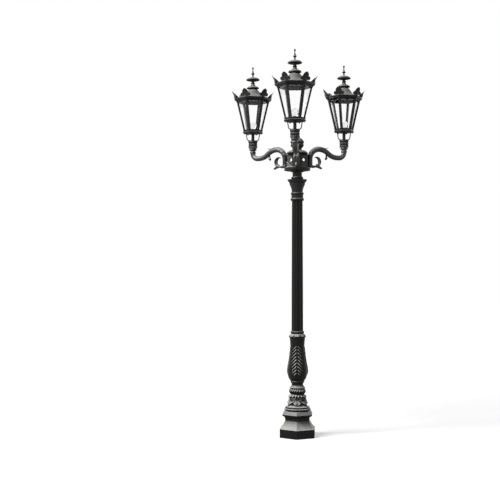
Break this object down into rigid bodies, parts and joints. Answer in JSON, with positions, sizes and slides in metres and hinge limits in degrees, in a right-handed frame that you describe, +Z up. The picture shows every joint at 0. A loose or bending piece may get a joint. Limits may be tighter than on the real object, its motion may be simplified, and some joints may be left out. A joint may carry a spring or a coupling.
{
  "type": "triple head lamp post",
  "caption": "Tall fluted garden lamp post on a six-sided plinth, with three scrolled arms that carry six-sided glass lanterns with hinged, spired roofs.",
  "frame": {"origin": "centre of the anchor bolt circle on the ground, under the column's axis", "axes": "+Z up along the column; the front arm points to -Y, the other two stand at 30 and 150 degrees from +X"},
  "size_m": [1.2839, 1.1487, 3.5312],
  "materials": {
    "black_casting": "satin black powder coat on cast aluminium",
    "galvanised_steel": "dull hot-dip galvanised",
    "bright_steel": "bright zinc plated",
    "block_plastic": "matt moulded",
    "lampholder_plastic": "glazed, off-white",
    "clear_glass": "clear, polished",
    "opal_glass": "opal white"
  },
  "bodies": {
    "post": {"anchor_plate": "galvanised_steel", "core_pipe": "galvanised_steel", "terminal_block": "block_plastic", "plinth": "black_casting", "leaf_bell": "black_casting", "rope_ring": "black_casting", "frond_vase": "black_casting", "fluted_shaft": "black_casting", "capital": "black_casting", "hub_dish": "black_casting", "hub_drum": "black_casting", "hub_nut": "bright_steel", "hub_finial": "black_casting", "arm_screws": "bright_steel", "arm_front": "black_casting", "arm_right": "black_casting", "arm_left": "black_casting"},
    "lantern_front": {"front_fitter": "black_casting", "front_cradle": "black_casting", "front_floor": "black_casting", "front_bars": "black_casting", "front_panes": "clear_glass", "front_crown": "black_casting", "front_hinge_pin": "bright_steel", "front_lampholder": "lampholder_plastic", "front_bulb": "opal_glass"},
    "roof_front": {"front_roof": "black_casting", "front_palmettes": "black_casting", "front_roof_screws": "bright_steel", "front_cowl": "black_casting", "front_finial": "black_casting"},
    "lantern_right": {"right_fitter": "black_casting", "right_cradle": "black_casting", "right_floor": "black_casting", "right_bars": "black_casting", "right_panes": "clear_glass", "right_crown": "black_casting", "right_hinge_pin": "bright_steel", "right_lampholder": "lampholder_plastic", "right_bulb": "opal_glass"},
    "roof_right": {"right_roof": "black_casting", "right_palmettes": "black_casting", "right_roof_screws": "bright_steel", "right_cowl": "black_casting", "right_finial": "black_casting"},
    "lantern_left": {"left_fitter": "black_casting", "left_cradle": "black_casting", "left_floor": "black_casting", "left_bars": "black_casting", "left_panes": "clear_glass", "left_crown": "black_casting", "left_hinge_pin": "bright_steel", "left_lampholder": "lampholder_plastic", "left_bulb": "opal_glass"},
    "roof_left": {"left_roof": "black_casting", "left_palmettes": "black_casting", "left_roof_screws": "bright_steel", "left_cowl": "black_casting", "left_finial": "black_casting"}
  },
  "joints": [
    {"name": "turn_front", "type": "hinge", "parent": "post", "child": "lantern_front", "pos_m": [0, -0.508, 2.7374], "axis": [0, 0, 1], "range_deg": [-180, 180]},
    {"name": "open_roof_front", "type": "hinge", "parent": "lantern_front", "child": "roof_front", "pos_m": [-0.01154, -0.34292, 3.1933], "axis": [-0.9976, -0.0698, 0], "range_deg": [0, 75]},
    {"name": "turn_right", "type": "hinge", "parent": "post", "child": "lantern_right", "pos_m": [0.43994, 0.254, 2.7374], "axis": [0, 0, 1], "range_deg": [-180, 180]},
    {"name": "open_roof_right", "type": "hinge", "parent": "lantern_right", "child": "roof_right", "pos_m": [0.3209, 0.13905, 3.1933], "axis": [0.6947, -0.7193, 0], "range_deg": [0, 75]},
    {"name": "turn_left", "type": "hinge", "parent": "post", "child": "lantern_left", "pos_m": [-0.43994, 0.254, 2.7374], "axis": [0, 0, 1], "range_deg": [-180, 180]},
    {"name": "open_roof_left", "type": "hinge", "parent": "lantern_left", "child": "roof_left", "pos_m": [-0.28347, 0.20012, 3.1933], "axis": [0.3256, 0.9455, 0], "range_deg": [0, 75]}
  ]
}
